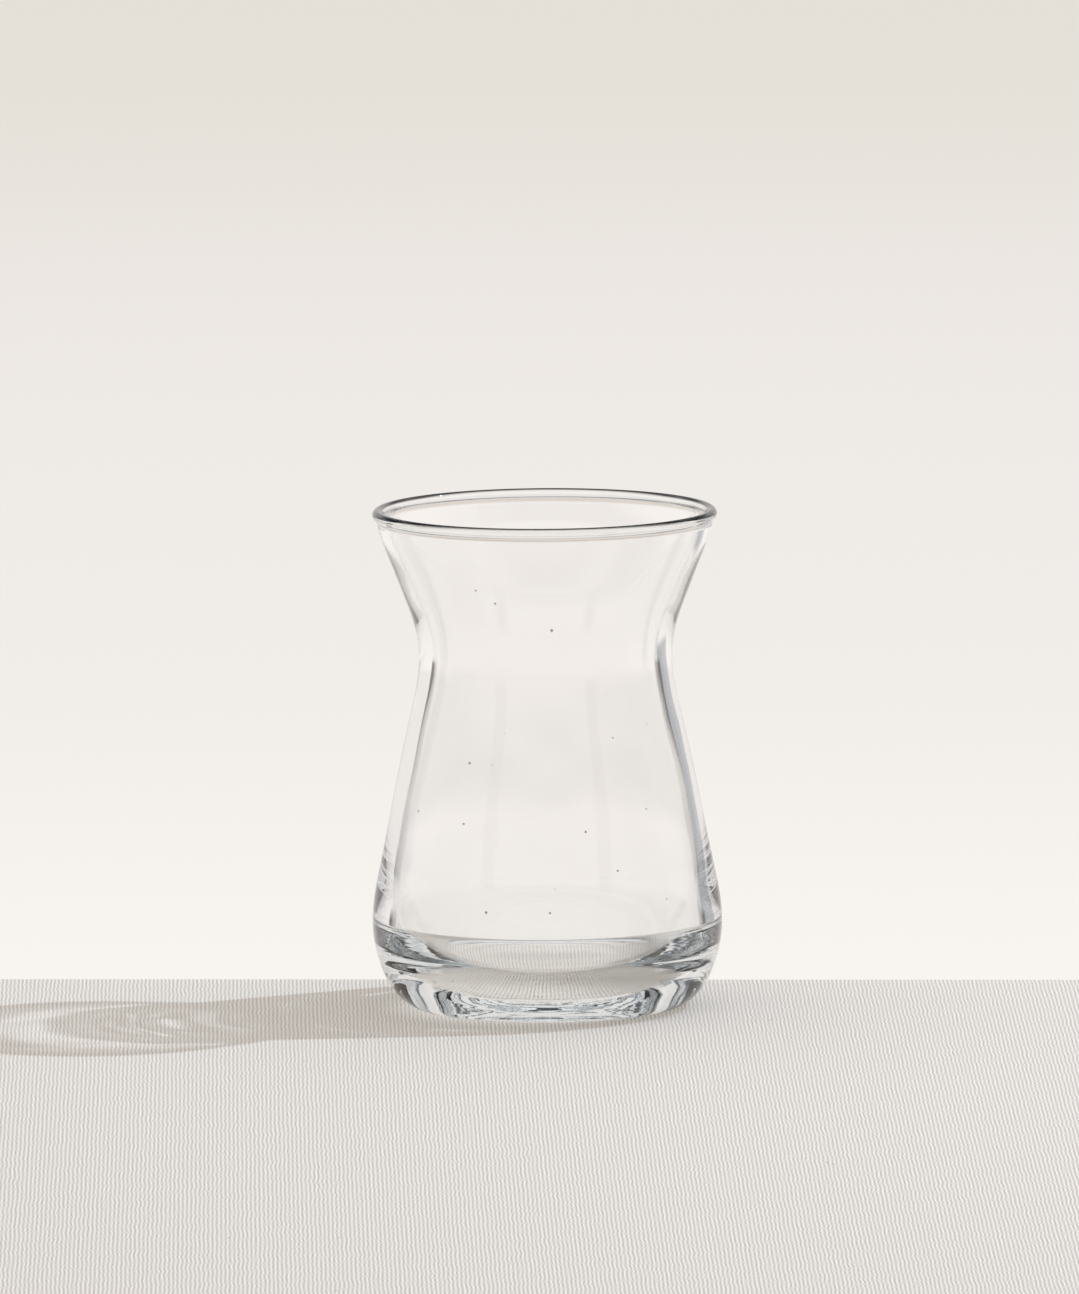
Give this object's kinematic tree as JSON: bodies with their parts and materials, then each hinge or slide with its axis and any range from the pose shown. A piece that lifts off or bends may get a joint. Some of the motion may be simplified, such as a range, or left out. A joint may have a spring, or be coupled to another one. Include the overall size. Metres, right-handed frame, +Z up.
{
  "type": "tea glass",
  "caption": "Waisted tea glass in clear glass: flared mouth with a rolled rim, narrow waist, round belly, and a thick base that is flat inside and slightly hollow underneath",
  "frame": {"origin": "Centre of the base, on the table plane", "axes": "+Z is up along the glass's axis of revolution; the glass is the same in every direction around it"},
  "size_m": [0.0612, 0.0612, 0.0876],
  "materials": {
    "clear_glass": "clear pressed and fire-polished soda-lime glass, faintly cool where it is thick"
  },
  "bodies": {
    "root": {"glass": "clear_glass"}
  },
  "joints": []
}
